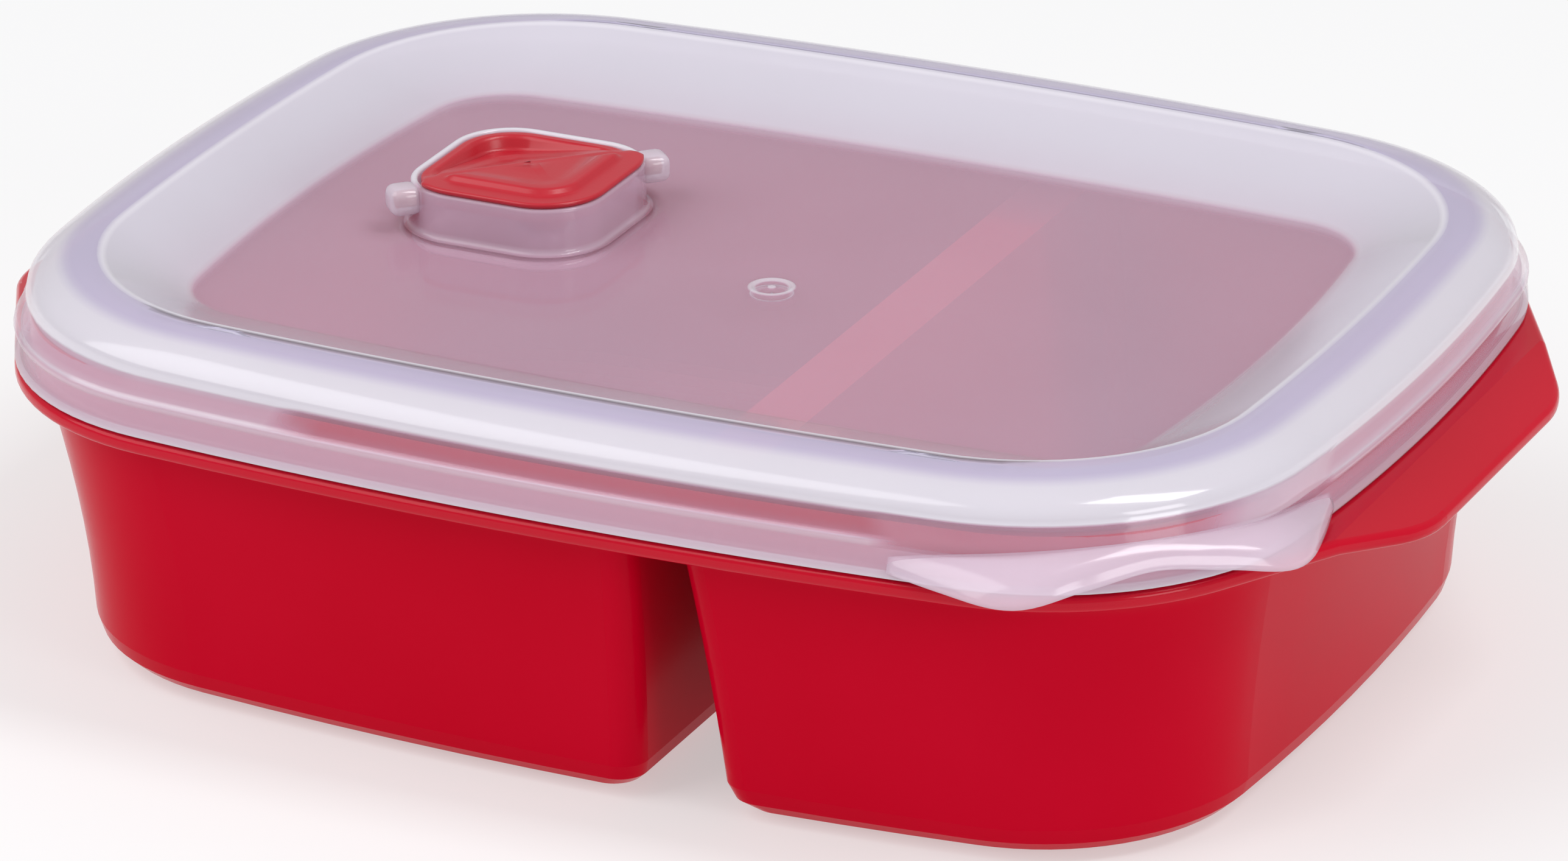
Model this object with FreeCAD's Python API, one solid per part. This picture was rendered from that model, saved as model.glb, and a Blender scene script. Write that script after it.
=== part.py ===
"""Two-compartment microwave lunch box: moulded tub, clear snap lid and rocking steam vent.

Millimetres. +X runs along the long side, +Y towards the vent side, +Z up. The origin is
the centre of the box on the surface that it stands on. The lid and the vent are closed.
"""
import FreeCAD
import Part

import math
import os

V = FreeCAD.Vector

# ---------------------------------------------------------------- driving dimensions
# Every outline is a rectangle with bowed sides and round corners:
# half length, half width, bow of a long side, bow of a short side, corner radius.
RIM = (109.2, 86.9, 8.4, 9.0, 43.0)          # outside of the lip and of the lid's skirt
THROAT = (105.4, 80.4, 8.0, 8.4, 36.0)       # tub wall just under the lip
BASE = (98.4, 75.8, 8.0, 5.5, 35.0)          # tub wall at its foot
RIDGE = (96.2, 73.3, 4.4, 4.6, 36.5)         # crease round the top of the lid
PANEL = (82.5, 54.5, 3.1, 4.3, 13.2)         # flat panel sunk in the lid

LIP_TOP = 49.0            # height of the lip's upper face above the table
LIP_THICKNESS = 2.7
LIP_EDGE_ROUND = 1.1
HANDLE_REACH = 120.8      # from the centre to the free edge of a handle
HANDLE_TIP_HALF = 27.5    # half width of a handle where its sides meet its free edge
HANDLE_TIP_ROUND = 22.0
HANDLE_BEND = 2.0         # beyond the rim, where a handle starts to slope down
HANDLE_DROP = 2.2         # how far its free edge lies below the lip

TUB_WALL = 1.4
TUB_FLOOR = 1.6
FLARE_POWER = 1.75        # how late the wall flares out towards the lip
BOTTOM_ROUND = 5.0
PAD_HEIGHT = 1.0
PAD_INSET = 7.5
DIVIDER_X = 16.6          # middle of the divider, right of the centre
GAP_TOP = 7.6             # width of the open slot between the compartments, at the lip
GAP_LEFT_DRAFT = 0.8      # how far each side of the slot leans away by the foot
GAP_RIGHT_DRAFT = 5.6
GAP_CORNER = 4.4          # round of the two edges beside the slot

RIM_WALL = 1.5            # upright bead above the lip, which the lid closes over
RIM_HEIGHT = 8.6

LID_WALL = 1.2
LID_GAP = 0.3             # lid skirt above the lip
LID_FIT = 0.35            # free play on each side of the rim wall
SKIRT_HEIGHT = 10.4
SKIRT_DRAFT = 0.9
RIDGE_HEIGHT = 15.6       # above the skirt's lower edge
PANEL_DEPTH = 7.0         # panel below the ridge
PLUG_HEIGHT = 2.6         # lower edge of the inner ring above the skirt's lower edge
RIB_HEIGHT = 5.6          # height of the rib round the skirt
RIB_DEPTH = 0.7
RIB_REACH = 0.4

TAB_HALF_SPAN = 40.0      # half length of the pull tab's root along the rim
TAB_TIP_PLACE = 20.0      # each drooping tip, along the rim from the corner
TAB_ROOT_MID = 7.4        # root above the skirt's lower edge, at the corner
TAB_ROOT_END = 3.4        # and at the tab's two ends
TAB_END_REACH = 0.2       # free edge beyond the rim: at the ends, the tips and the corner
TAB_TIP_REACH = 6.6
TAB_MID_REACH = 1.8
TAB_END_HEIGHT = 1.0      # free edge above the skirt's lower edge, likewise
TAB_TIP_HEIGHT = 0.5
TAB_MID_HEIGHT = 3.6
TAB_THICKNESS = 0.9

VENT_X = -46.0
VENT_Y = 5.6
VENT_HALF = 16.4          # half width of the square wall round the vent
VENT_CORNER = 8.4
VENT_WALL = 1.2
VENT_HEIGHT = 7.5         # wall above the panel
VENT_SUMP = 2.0           # floor inside the wall, below the panel
LUG_REACH = 3.6
LUG_WIDTH = 5.2
LUG_HEIGHT = 4.6
LUG_CAP = 1.0             # closed end of each pivot hole
PIN_RADIUS = 1.4
PIN_FIT = 0.08
PIN_DROP = 2.4            # pivot line below the top of the vent wall
CHIMNEY_OUTER = 4.6
CHIMNEY_BORE = 2.5
CHIMNEY_HEIGHT = 3.0
CHIMNEY_OFFSET = 8.0      # steam hole from the pivot line
SEAL_GAP = 0.2

CAP_FIT = 0.35
CAP_SKIN = 1.2
CAP_RISE = 1.0            # top of the cap's sealing half above the vent wall
CAP_SINK = 0.2            # rim of its pressed half below the vent wall
CAP_DEPTH = 3.9           # height of the cap's side
CAP_DISH = 1.7            # hollow that is pressed to open the vent
CAP_DISH_EDGE = 1.5
CAP_LIP_RISE = 0.25       # clearance of the cap's lip over the vent wall
CAP_LIP_START = 2.0       # lip and pad start this far past the pivot line
CAP_PAD_INSET = 3.4
CAP_PAD_RISE = 0.9
STUD_RADIUS = 4.0

# ---------------------------------------------------------------- derived places
LIP_BOTTOM = LIP_TOP - LIP_THICKNESS
SKIRT_BOTTOM = LIP_TOP + LID_GAP
RIDGE_TOP = SKIRT_BOTTOM + RIDGE_HEIGHT
PANEL_TOP = RIDGE_TOP - PANEL_DEPTH
RIM_WALL_INSET = LID_WALL + SKIRT_DRAFT + LID_FIT
PLUG_INSET = RIM_WALL_INSET + RIM_WALL + LID_FIT
VENT_TOP = PANEL_TOP + VENT_HEIGHT
VENT_FLOOR = PANEL_TOP - VENT_SUMP
PIN_Z = VENT_TOP - PIN_DROP
CAP_HALF = VENT_HALF - VENT_WALL - CAP_FIT
CAP_CORNER = VENT_CORNER - VENT_WALL - CAP_FIT
CAP_TOP = VENT_TOP + CAP_RISE
DIAGONAL = 45.0           # the pivot runs corner to corner


# ---------------------------------------------------------------- outlines
def blend(first, second, share):
    """Outline part of the way from one outline to another."""
    return tuple(p + (q - p) * share for p, q in zip(first, second))


def inset(outline, distance):
    """Outline moved inwards all round."""
    half_x, half_y, bow_long, bow_short, corner = outline
    return (half_x - distance, half_y - distance, bow_long, bow_short, corner - distance)


def side_circles(outline):
    """Radius of the long and of the short bowed sides, with their centres' distances."""
    half_x, half_y, bow_long, bow_short, corner = outline
    long_radius = (half_x ** 2 + bow_long ** 2) / (2 * bow_long)
    short_radius = (half_y ** 2 + bow_short ** 2) / (2 * bow_short)
    return long_radius, long_radius - half_y, short_radius, short_radius - half_x


def corner_centre(outline):
    """Centre of the corner arc that touches both bowed sides, in the +X +Y quarter."""
    corner = outline[4]
    long_radius, long_back, short_radius, short_back = side_circles(outline)
    reach_a = long_radius - corner
    reach_b = short_radius - corner
    base = math.hypot(short_back, long_back)
    along = (reach_a ** 2 - reach_b ** 2 + base ** 2) / (2 * base)
    off = math.sqrt(reach_a ** 2 - along ** 2)
    unit_x = -short_back / base
    unit_y = long_back / base
    return unit_x * along + unit_y * off, -long_back + unit_y * along - unit_x * off


def arc_about(cx, cy, radius, start, end, z):
    """Arc about a centre, from one angle to another, in radians."""
    middle = (start + end) / 2
    points = [V(cx + radius * math.cos(a), cy + radius * math.sin(a), z) for a in (start, middle, end)]
    return Part.Arc(*points).toShape()


def full_wire(outline, z):
    """Closed bowed rectangle at height z, drawn anticlockwise from the +X side."""
    long_radius, long_back, short_radius, short_back = side_circles(outline)
    cx, cy = corner_centre(outline)
    short_angle = math.atan2(cy, cx + short_back)
    long_angle = math.atan2(cy + long_back, cx)
    corner = outline[4]
    turn = math.pi
    edges = [
        arc_about(-short_back, 0, short_radius, -short_angle, short_angle, z),
        arc_about(cx, cy, corner, short_angle, long_angle, z),
        arc_about(0, -long_back, long_radius, long_angle, turn - long_angle, z),
        arc_about(-cx, cy, corner, turn - long_angle, turn - short_angle, z),
        arc_about(short_back, 0, short_radius, turn - short_angle, turn + short_angle, z),
        arc_about(-cx, -cy, corner, turn + short_angle, turn + long_angle, z),
        arc_about(0, long_back, long_radius, turn + long_angle, 2 * turn - long_angle, z),
        arc_about(cx, -cy, corner, 2 * turn - long_angle, 2 * turn - short_angle, z),
    ]
    return Part.Wire(edges)


def cell_wire(outline, side, face_x, face_corner, z):
    """Outline of one compartment: the part of the bowed rectangle beyond a flat face.

    side is +1 for the compartment at +X and -1 for the one at -X.
    """
    long_radius, long_back, short_radius, short_back = side_circles(outline)
    cx, cy = corner_centre(outline)
    corner = outline[4]
    short_angle = math.atan2(cy, cx + short_back)
    long_angle = math.atan2(cy + long_back, cx)
    fx = side * face_x + face_corner
    fy = math.sqrt((long_radius - face_corner) ** 2 - fx ** 2) - long_back
    face_angle = math.atan2(fy + long_back, fx)
    turn = math.pi
    edges = [
        arc_about(-short_back, 0, short_radius, -short_angle, short_angle, z),
        arc_about(cx, cy, corner, short_angle, long_angle, z),
        arc_about(0, -long_back, long_radius, long_angle, face_angle, z),
        arc_about(fx, fy, face_corner, face_angle, turn, z),
        Part.makeLine(V(fx - face_corner, fy, z), V(fx - face_corner, -fy, z)),
        arc_about(fx, -fy, face_corner, -turn, -face_angle, z),
        arc_about(0, long_back, long_radius, -face_angle, -long_angle, z),
        arc_about(cx, -cy, corner, -long_angle, -short_angle, z),
    ]
    wire = Part.Wire(edges)
    if side < 0:
        wire = wire.mirror(V(0, 0, 0), V(1, 0, 0))
    return wire


def prism(wire, height):
    return Part.Face(wire).extrude(V(0, 0, height))


def loft(wires, ruled=False):
    return Part.makeLoft(wires, True, ruled)


def square_wire(half, corner, z):
    """Square with round corners about the vent's centre."""
    far = half - corner
    quarter = math.pi / 2
    edges = []
    for step, (sx, sy) in enumerate(((1, 1), (-1, 1), (-1, -1), (1, -1))):
        cx = VENT_X + sx * far
        cy = VENT_Y + sy * far
        start = step * quarter
        edges.append(arc_about(cx, cy, corner, start, start + quarter, z))
        nx, ny = ((-1, 1), (-1, -1), (1, -1), (1, 1))[step]
        end = V(cx + corner * math.cos(start + quarter), cy + corner * math.sin(start + quarter), z)
        reach = start + quarter
        following = V(VENT_X + nx * far + corner * math.cos(reach),
                      VENT_Y + ny * far + corner * math.sin(reach), z)
        edges.append(Part.makeLine(end, following))
    return Part.Wire(edges)


# ---------------------------------------------------------------- tub
def slot_faces(z):
    """X of the two outer faces of the slot between the compartments at height z."""
    share = (LIP_BOTTOM - z) / (LIP_BOTTOM - PAD_HEIGHT)
    left = DIVIDER_X - GAP_TOP / 2 - GAP_LEFT_DRAFT * share
    right = DIVIDER_X + GAP_TOP / 2 + GAP_RIGHT_DRAFT * share
    return left, right


def wall_outline(z):
    """Outside of the tub's wall at height z, flaring out towards the lip."""
    share = (z - PAD_HEIGHT) / (LIP_BOTTOM - PAD_HEIGHT)
    return blend(BASE, THROAT, max(share, 0.0) ** FLARE_POWER)


def compartment(side, thickness, floor, top):
    """Solid of one compartment, moved inwards by a wall thickness."""
    bottom_round = BOTTOM_ROUND - thickness
    corner = GAP_CORNER - thickness

    def section(z, tuck):
        left, right = slot_faces(z)
        face = right if side > 0 else left
        outline = inset(wall_outline(z), thickness + tuck)
        return cell_wire(outline, side, face + side * (thickness + tuck), corner, z)

    turns = [math.radians(a) for a in (0, 30, 60, 90)]
    foot = [section(floor + bottom_round * (1 - math.sin(a)), bottom_round * (1 - math.cos(a)))
            for a in reversed(turns)]
    lift = floor + bottom_round
    walls = [section(lift + (top - lift) * share, 0.0) for share in (0, 0.25, 0.5, 0.75, 1)]
    return loft(foot, True).fuse(loft(walls))


def lip_wire(z):
    """Outline of the lip with the two handles drawn out of its short ends."""
    long_radius, long_back, short_radius, short_back = side_circles(RIM)
    cx, cy = corner_centre(RIM)
    corner = RIM[4]
    long_angle = math.atan2(cy + long_back, cx)
    dx = HANDLE_REACH - cx
    dy = HANDLE_TIP_HALF - cy
    side_angle = math.atan2(dy, dx) + math.acos(corner / math.hypot(dx, dy))
    touch = V(cx + corner * math.cos(side_angle), cy + corner * math.sin(side_angle), z)
    tip = V(HANDLE_REACH, HANDLE_TIP_HALF, z)
    slant = (touch - tip).normalize()
    down = V(0, -1, 0)
    half = slant.getAngle(down) / 2
    first = tip + slant * (HANDLE_TIP_ROUND / math.tan(half))
    last = tip + down * (HANDLE_TIP_ROUND / math.tan(half))
    middle = tip + (slant + down).normalize() * (HANDLE_TIP_ROUND / math.sin(half) - HANDLE_TIP_ROUND)

    def place(point, sx, sy):
        return V(point.x * sx, point.y * sy, z)

    edges = []
    for sx, sy in ((1, 1), (-1, 1), (-1, -1), (1, -1)):
        bend = (side_angle + long_angle) / 2
        arc = [V(cx + corner * math.cos(a), cy + corner * math.sin(a), z)
               for a in (side_angle, bend, long_angle)]
        edges.append(Part.Arc(*[place(p, sx, sy) for p in arc]).toShape())
        edges.append(Part.makeLine(place(touch, sx, sy), place(first, sx, sy)))
        edges.append(Part.Arc(place(first, sx, sy), place(middle, sx, sy), place(last, sx, sy)).toShape())
    for sx in (1, -1):
        edges.append(Part.makeLine(place(last, sx, 1), place(last, sx, -1)))
    turn = math.pi
    edges.append(arc_about(0, -long_back, long_radius, long_angle, turn - long_angle, z))
    edges.append(arc_about(0, long_back, long_radius, turn + long_angle, 2 * turn - long_angle, z))
    return Part.Wire(Part.__sortEdges__(edges))


def lip_plate():
    """Lip with the two handles, which slope down from a bend just outside the rim."""
    bend = RIM[0] + HANDLE_BEND
    fall = HANDLE_DROP / (HANDLE_REACH - bend)
    far = 2 * HANDLE_REACH
    low = (far - bend) * fall
    side = [(bend, LIP_TOP), (far, LIP_TOP - low), (far, LIP_BOTTOM - low), (bend, LIP_BOTTOM)]
    mirrored = [(-x, z) for x, z in reversed(side)]
    corners = [V(x, -far, z) for x, z in side + mirrored]
    slab = Part.Face(Part.makePolygon(corners + corners[:1])).extrude(V(0, 2 * far, 0))
    tall = prism(lip_wire(LIP_BOTTOM - HANDLE_DROP - LIP_THICKNESS), 2 * LIP_THICKNESS + HANDLE_DROP)
    plate = tall.common(slab)
    rims = []
    for face in plate.Faces:
        if abs(face.normalAt(0, 0).z) > 0.5:
            rims += [e for e in face.Edges
                     if not (e.BoundBox.XLength < 1e-6 and abs(abs(e.CenterOfMass.x) - bend) < 1e-6)]
    return plate.makeFillet(LIP_EDGE_ROUND, rims)


def make_tub():
    plate = lip_plate()
    rim_outer = prism(full_wire(inset(RIM, RIM_WALL_INSET), LIP_TOP - LIP_EDGE_ROUND),
                      RIM_HEIGHT + LIP_EDGE_ROUND)
    rim_inner = prism(full_wire(inset(RIM, RIM_WALL_INSET + RIM_WALL), LIP_TOP), 2 * RIM_HEIGHT)
    tub = plate.fuse(rim_outer)
    for side in (-1, 1):
        tub = tub.fuse(compartment(side, 0.0, PAD_HEIGHT, LIP_BOTTOM + LIP_THICKNESS / 2))
    tub = tub.cut(rim_inner)
    for side in (-1, 1):
        tub = tub.cut(compartment(side, TUB_WALL, PAD_HEIGHT + TUB_FLOOR, LIP_TOP + TUB_WALL))
        left, right = slot_faces(PAD_HEIGHT)
        face = right if side > 0 else left
        foot = cell_wire(inset(BASE, PAD_INSET), side, face + side * PAD_INSET, GAP_CORNER, 0.0)
        tub = tub.fuse(prism(foot, PAD_HEIGHT + TUB_FLOOR / 2))
    return tub


# ---------------------------------------------------------------- lid
def dome(thickness):
    """Skirt and rounded shoulder of the lid as one solid, moved inwards by a thickness."""
    foot = inset(RIM, thickness)
    shoulder = inset(RIM, SKIRT_DRAFT + thickness)
    crest = inset(RIDGE, LID_WALL + thickness)
    skirt = loft([full_wire(foot, SKIRT_BOTTOM), full_wire(shoulder, SKIRT_BOTTOM + SKIRT_HEIGHT)], True)
    rise = RIDGE_HEIGHT - SKIRT_HEIGHT - thickness
    sections = []
    for degrees in (0, 22, 45, 67, 90):
        angle = math.radians(degrees)
        height = SKIRT_BOTTOM + SKIRT_HEIGHT + rise * math.sin(angle)
        sections.append(full_wire(blend(shoulder, crest, 1 - math.cos(angle)), height))
    return skirt.fuse(loft(sections))


def well(thickness):
    """Sunken middle of the lid as a solid, widened by a thickness."""
    floor = inset(PANEL, -thickness)
    mouth = inset(RIDGE, -thickness)
    above = 0.3
    wide = blend(floor, mouth, 1 + above)
    return loft([full_wire(floor, PANEL_TOP - thickness),
                 full_wire(wide, PANEL_TOP - thickness + PANEL_DEPTH * (1 + above))], True)


def rim_place(distance):
    """Point and outward direction on the rim's front right corner.

    distance runs along the rim from the middle of the corner, positive towards +X +Y.
    """
    long_radius, long_back, short_radius, short_back = side_circles(RIM)
    cx, cy = corner_centre(RIM)
    corner = RIM[4]
    short_angle = -math.atan2(cy, cx + short_back)
    long_angle = -math.atan2(cy + long_back, cx)
    middle = (short_angle + long_angle) / 2
    angle = middle + distance / corner
    if angle > short_angle:
        angle = short_angle + (angle - short_angle) * corner / short_radius
        centre_x, centre_y, radius = -short_back, 0.0, short_radius
    elif angle < long_angle:
        angle = long_angle + (angle - long_angle) * corner / long_radius
        centre_x, centre_y, radius = 0.0, long_back, long_radius
    else:
        centre_x, centre_y, radius = cx, -cy, corner
    outward = V(math.cos(angle), math.sin(angle), 0)
    return V(centre_x, centre_y, 0) + outward * radius, outward


def pull_tab():
    """Thin flap at the front right corner, with two drooping tips."""
    end = (TAB_HALF_SPAN, TAB_END_REACH, TAB_END_HEIGHT)
    tip = (TAB_TIP_PLACE, TAB_TIP_REACH, TAB_TIP_HEIGHT)
    middle = (0.0, TAB_MID_REACH, TAB_MID_HEIGHT)
    half = [end, blend(end, tip, 0.5), tip, blend(tip, middle, 0.5)]
    stations = [(-place, reach, height) for place, reach, height in half] + [middle] + half[::-1]
    root = []
    free = []
    for place, reach, height in stations:
        point, outward = rim_place(place)
        share = place / TAB_HALF_SPAN
        root_height = TAB_ROOT_MID + (TAB_ROOT_END - TAB_ROOT_MID) * share ** 2
        sunk = LID_WALL * 0.7 + SKIRT_DRAFT * root_height / SKIRT_HEIGHT
        root.append(point - outward * sunk + V(0, 0, SKIRT_BOTTOM + root_height))
        free.append(point + outward * reach + V(0, 0, SKIRT_BOTTOM + height))
    curves = []
    for points in (root, free):
        curve = Part.BSplineCurve()
        curve.interpolate(points)
        curves.append(curve.toShape())
    sheet = Part.makeRuledSurface(curves[0], curves[1])
    corner = rim_place(0.0)[1]
    return sheet.extrude((corner + V(0, 0, 1)).normalize() * TAB_THICKNESS)


def turned(shape):
    """Shape drawn along X about the vent's centre, turned onto the pivot's diagonal."""
    shape.rotate(V(VENT_X, VENT_Y, 0), V(0, 0, 1), DIAGONAL)
    return shape


def pivot_cylinder(radius, half_length):
    cylinder = Part.makeCylinder(radius, 2 * half_length, V(VENT_X - half_length, VENT_Y, PIN_Z), V(1, 0, 0))
    return turned(cylinder)


def corner_reach():
    """Distance from the vent's centre to the outside of its wall, along the diagonal."""
    return (VENT_HALF - VENT_CORNER) * math.sqrt(2) + VENT_CORNER


def add_vent_seat(lid):
    """Vent wall, sunk floor, steam hole and the two pivot lugs, all part of the lid."""
    bottom = VENT_FLOOR - LID_WALL
    outer = prism(square_wire(VENT_HALF, VENT_CORNER, bottom), VENT_TOP - bottom)
    lug_half = corner_reach() + LUG_REACH
    lug = Part.makeBox(2 * lug_half, LUG_WIDTH, LUG_HEIGHT,
                       V(VENT_X - lug_half, VENT_Y - LUG_WIDTH / 2, PIN_Z + LUG_HEIGHT / 2 - LUG_HEIGHT))
    uprights = [e for e in lug.Edges if e.BoundBox.ZLength > LUG_HEIGHT / 2]
    lug = turned(lug.makeFillet(LUG_WIDTH * 0.3, uprights))
    inside = prism(square_wire(VENT_HALF - VENT_WALL, VENT_CORNER - VENT_WALL, VENT_FLOOR),
                   VENT_TOP - VENT_FLOOR + 1)
    hole_x = VENT_X + CHIMNEY_OFFSET * math.sin(math.radians(DIAGONAL))
    hole_y = VENT_Y - CHIMNEY_OFFSET * math.cos(math.radians(DIAGONAL))
    chimney = Part.makeCylinder(CHIMNEY_OUTER, CHIMNEY_HEIGHT, V(hole_x, hole_y, VENT_FLOOR))
    hole = Part.makeCylinder(CHIMNEY_BORE, 2 * CHIMNEY_HEIGHT + LID_WALL,
                             V(hole_x, hole_y, bottom - CHIMNEY_HEIGHT / 2))
    lid = lid.fuse(outer).fuse(lug).cut(inside).fuse(chimney).cut(hole)
    return lid.cut(pivot_cylinder(PIN_RADIUS + PIN_FIT, lug_half - LUG_CAP))


def make_lid():
    outside = dome(0.0).cut(well(0.0))
    inside = dome(LID_WALL).cut(well(LID_WALL))
    shell = outside.cut(inside)
    plug_bottom = SKIRT_BOTTOM + PLUG_HEIGHT
    plug = prism(full_wire(inset(RIM, PLUG_INSET), plug_bottom), RIDGE_HEIGHT)
    plug = plug.cut(prism(full_wire(inset(RIM, PLUG_INSET + LID_WALL), plug_bottom - 1), 2 * RIDGE_HEIGHT))
    shell = shell.fuse(plug.common(outside))
    rib_z = SKIRT_BOTTOM + RIB_HEIGHT
    rib_inset = SKIRT_DRAFT * RIB_HEIGHT / SKIRT_HEIGHT
    rib = loft([full_wire(inset(RIM, rib_inset), rib_z - RIB_DEPTH),
                full_wire(inset(RIM, rib_inset - RIB_REACH), rib_z),
                full_wire(inset(RIM, rib_inset), rib_z + RIB_DEPTH)], True)
    core = prism(full_wire(inset(RIM, rib_inset + LID_WALL / 2), rib_z - 2 * RIB_DEPTH), 4 * RIB_DEPTH)
    shell = shell.fuse(rib.cut(core))
    shell = shell.fuse(pull_tab())
    return add_vent_seat(shell)


# ---------------------------------------------------------------- vent cap
def half_space(offset, sign):
    """Block on one side of the pivot line: +1 is the sealing side, -1 the pressed side."""
    size = 4 * VENT_HALF
    low = offset if sign > 0 else -offset - size
    block = Part.makeBox(2 * size, size, 2 * size, V(VENT_X - size, VENT_Y - low - size, VENT_FLOOR - size))
    return turned(block)


def make_vent_cap():
    body = prism(square_wire(CAP_HALF, CAP_CORNER, CAP_TOP - CAP_DEPTH), CAP_DEPTH)
    lip_bottom = VENT_TOP + CAP_LIP_RISE
    lip = prism(square_wire(VENT_HALF, VENT_CORNER, lip_bottom), CAP_TOP - lip_bottom)
    lip = lip.common(half_space(CAP_LIP_START, 1))
    pad_half = CAP_HALF - CAP_PAD_INSET
    pad = prism(square_wire(pad_half, CAP_CORNER - CAP_PAD_INSET / 2, CAP_TOP - CAP_SKIN / 2),
                CAP_SKIN / 2 + CAP_PAD_RISE)
    pad = pad.common(half_space(CAP_LIP_START * 1.5, 1))
    press_top = VENT_TOP - CAP_SINK
    above = prism(square_wire(VENT_HALF, VENT_CORNER, press_top), CAP_DEPTH)
    dish = prism(square_wire(CAP_HALF - CAP_DISH_EDGE, CAP_CORNER - CAP_DISH_EDGE, press_top - CAP_DISH),
                 2 * CAP_DISH)
    dish = dish.fuse(above).common(half_space(0.0, -1))
    hollow = prism(square_wire(CAP_HALF - CAP_SKIN, CAP_CORNER - CAP_SKIN, CAP_TOP - 2 * CAP_DEPTH),
                   2 * CAP_DEPTH - CAP_SKIN)
    hollow = hollow.common(half_space(PIN_RADIUS + CAP_SKIN, 1))
    hole_x = VENT_X + CHIMNEY_OFFSET * math.sin(math.radians(DIAGONAL))
    hole_y = VENT_Y - CHIMNEY_OFFSET * math.cos(math.radians(DIAGONAL))
    stud_bottom = VENT_FLOOR + CHIMNEY_HEIGHT + SEAL_GAP
    stud = Part.makeCylinder(STUD_RADIUS, CAP_TOP - CAP_SKIN / 2 - stud_bottom, V(hole_x, hole_y, stud_bottom))
    pin_half = corner_reach() + LUG_REACH - LUG_CAP - CAP_FIT
    cap = body.fuse(lip).fuse(pad).cut(dish).cut(hollow).fuse(stud)
    return cap.fuse(pivot_cylinder(PIN_RADIUS, pin_half))


NODES = {
    "tub": make_tub,
    "lid": make_lid,
    "vent_cap": make_vent_cap,
}

os.makedirs("parts", exist_ok=True)
for name, make in NODES.items():
    shape = make().removeSplitter()
    solid = shape.Solids[0] if len(shape.Solids) == 1 else shape
    solid.exportStep(os.path.join("parts", name + ".step"))
    box = solid.BoundBox
    print(name, "solids", len(shape.Solids), "valid", solid.isValid(),
          "volume", round(solid.Volume, 1),
          "x", round(box.XMin, 2), round(box.XMax, 2),
          "y", round(box.YMin, 2), round(box.YMax, 2),
          "z", round(box.ZMin, 2), round(box.ZMax, 2))
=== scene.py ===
import math
import bmesh
import bpy
from mathutils import Matrix, Vector
from mathutils.geometry import delaunay_2d_cdt


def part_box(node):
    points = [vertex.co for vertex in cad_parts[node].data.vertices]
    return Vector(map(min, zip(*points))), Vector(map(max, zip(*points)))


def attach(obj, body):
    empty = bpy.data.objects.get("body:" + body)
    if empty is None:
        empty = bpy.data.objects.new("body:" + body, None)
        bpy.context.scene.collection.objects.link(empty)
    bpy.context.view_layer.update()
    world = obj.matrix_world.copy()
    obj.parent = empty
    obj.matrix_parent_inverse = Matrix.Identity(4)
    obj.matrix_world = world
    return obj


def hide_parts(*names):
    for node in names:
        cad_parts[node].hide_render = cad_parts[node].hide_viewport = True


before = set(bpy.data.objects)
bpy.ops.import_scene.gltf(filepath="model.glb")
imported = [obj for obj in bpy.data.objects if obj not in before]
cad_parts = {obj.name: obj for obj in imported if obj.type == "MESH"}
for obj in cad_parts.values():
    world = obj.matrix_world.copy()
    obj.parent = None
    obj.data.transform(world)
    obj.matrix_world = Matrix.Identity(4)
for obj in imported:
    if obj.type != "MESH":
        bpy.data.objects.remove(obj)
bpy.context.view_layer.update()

# ------------------------------------------------------------------ tub
# The tub is one injection moulding in opaque red polypropylene: two food
# compartments, a rounded lip that the lid closes over, and a flat handle at
# each short end. Its surface is glossy, with the faint waviness of thin plastic.


class Value:
    """A shader value that takes part in plain arithmetic."""

    def __init__(self, tree, socket):
        self.tree = tree
        self.socket = socket

    def node(self, kind, settings=None, **inputs):
        made = self.tree.nodes.new(kind)
        for name, setting in (settings or {}).items():
            setattr(made, name, setting)
        for name, value in inputs.items():
            key = int(name[1:]) if name[0] == "_" and name[1:].isdigit() else name.replace("_", " ")
            if isinstance(value, Value):
                self.tree.links.new(value.socket, made.inputs[key])
            else:
                made.inputs[key].default_value = value
        return made

    def maths(self, operation, *values):
        made = self.node("ShaderNodeMath", {"operation": operation},
                         **{f"_{place}": value for place, value in enumerate(values)})
        return Value(self.tree, made.outputs[0])

    def __add__(self, other):
        return self.maths("ADD", self, other)

    def __radd__(self, other):
        return self.maths("ADD", other, self)

    def __sub__(self, other):
        return self.maths("SUBTRACT", self, other)

    def __rsub__(self, other):
        return self.maths("SUBTRACT", other, self)

    def __mul__(self, other):
        return self.maths("MULTIPLY", self, other)

    def __rmul__(self, other):
        return self.maths("MULTIPLY", other, self)

    def __truediv__(self, other):
        return self.maths("DIVIDE", self, other)

    def __pow__(self, other):
        return self.maths("POWER", self, other)

    def over(self, low, high):
        """0 below low, 1 above high, smooth between."""
        made = self.node("ShaderNodeMapRange", {"interpolation_type": "SMOOTHSTEP"},
                         Value=self, From_Min=low, From_Max=high)
        return Value(self.tree, made.outputs[0])


def new_material(name):
    material = bpy.data.materials.new(name)
    material.use_nodes = True
    tree = material.node_tree
    surface = tree.nodes["Principled BSDF"]
    place = Value(tree, tree.nodes.new("ShaderNodeTexCoord").outputs["Object"])
    return material, tree, surface, place


def mottle(place, size, detail=3.0):
    """Soft cloudy noise, 0 to 1, with patches about size metres across."""
    made = place.node("ShaderNodeTexNoise", Vector=place, Scale=1 / size, Detail=detail, Roughness=0.5)
    return Value(place.tree, made.outputs["Fac"])


def shade(place, factor, dark, light):
    made = place.node("ShaderNodeMix", {"data_type": "RGBA"}, _0=factor, _6=(*dark, 1), _7=(*light, 1))
    return Value(place.tree, made.outputs[2])


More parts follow.
